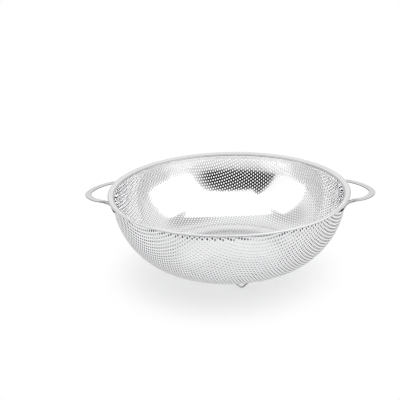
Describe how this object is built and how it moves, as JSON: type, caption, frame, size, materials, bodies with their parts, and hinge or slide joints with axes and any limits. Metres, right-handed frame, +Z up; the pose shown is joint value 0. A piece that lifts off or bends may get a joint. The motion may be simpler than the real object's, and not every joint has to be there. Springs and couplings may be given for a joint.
{
  "type": "colander",
  "caption": "Finely perforated steel bowl with a plain flat bottom, a folded rim band, two flat wire loop handles and short V-shaped wire feet.",
  "frame": {"origin": "on the table under the middle of the bowl, at the level of the feet's toes", "axes": "+Z up along the bowl's axis, +X through the right handle, -Y towards the front foot's side"},
  "size_m": [0.3374, 0.28, 0.0923],
  "materials": {
    "perforated_sheet": "satin",
    "band_sheet": "polished",
    "handle_wire": "satin",
    "foot_wire": "satin",
    "weld_metal": "matt"
  },
  "bodies": {
    "root": {"bowl": "perforated_sheet", "rim_band": "band_sheet", "left_handle": "handle_wire", "right_handle": "handle_wire", "front_foot": "foot_wire", "rear_left_foot": "foot_wire", "rear_right_foot": "foot_wire", "left_handle_welds": "weld_metal", "right_handle_welds": "weld_metal", "foot_welds": "weld_metal"}
  },
  "joints": []
}
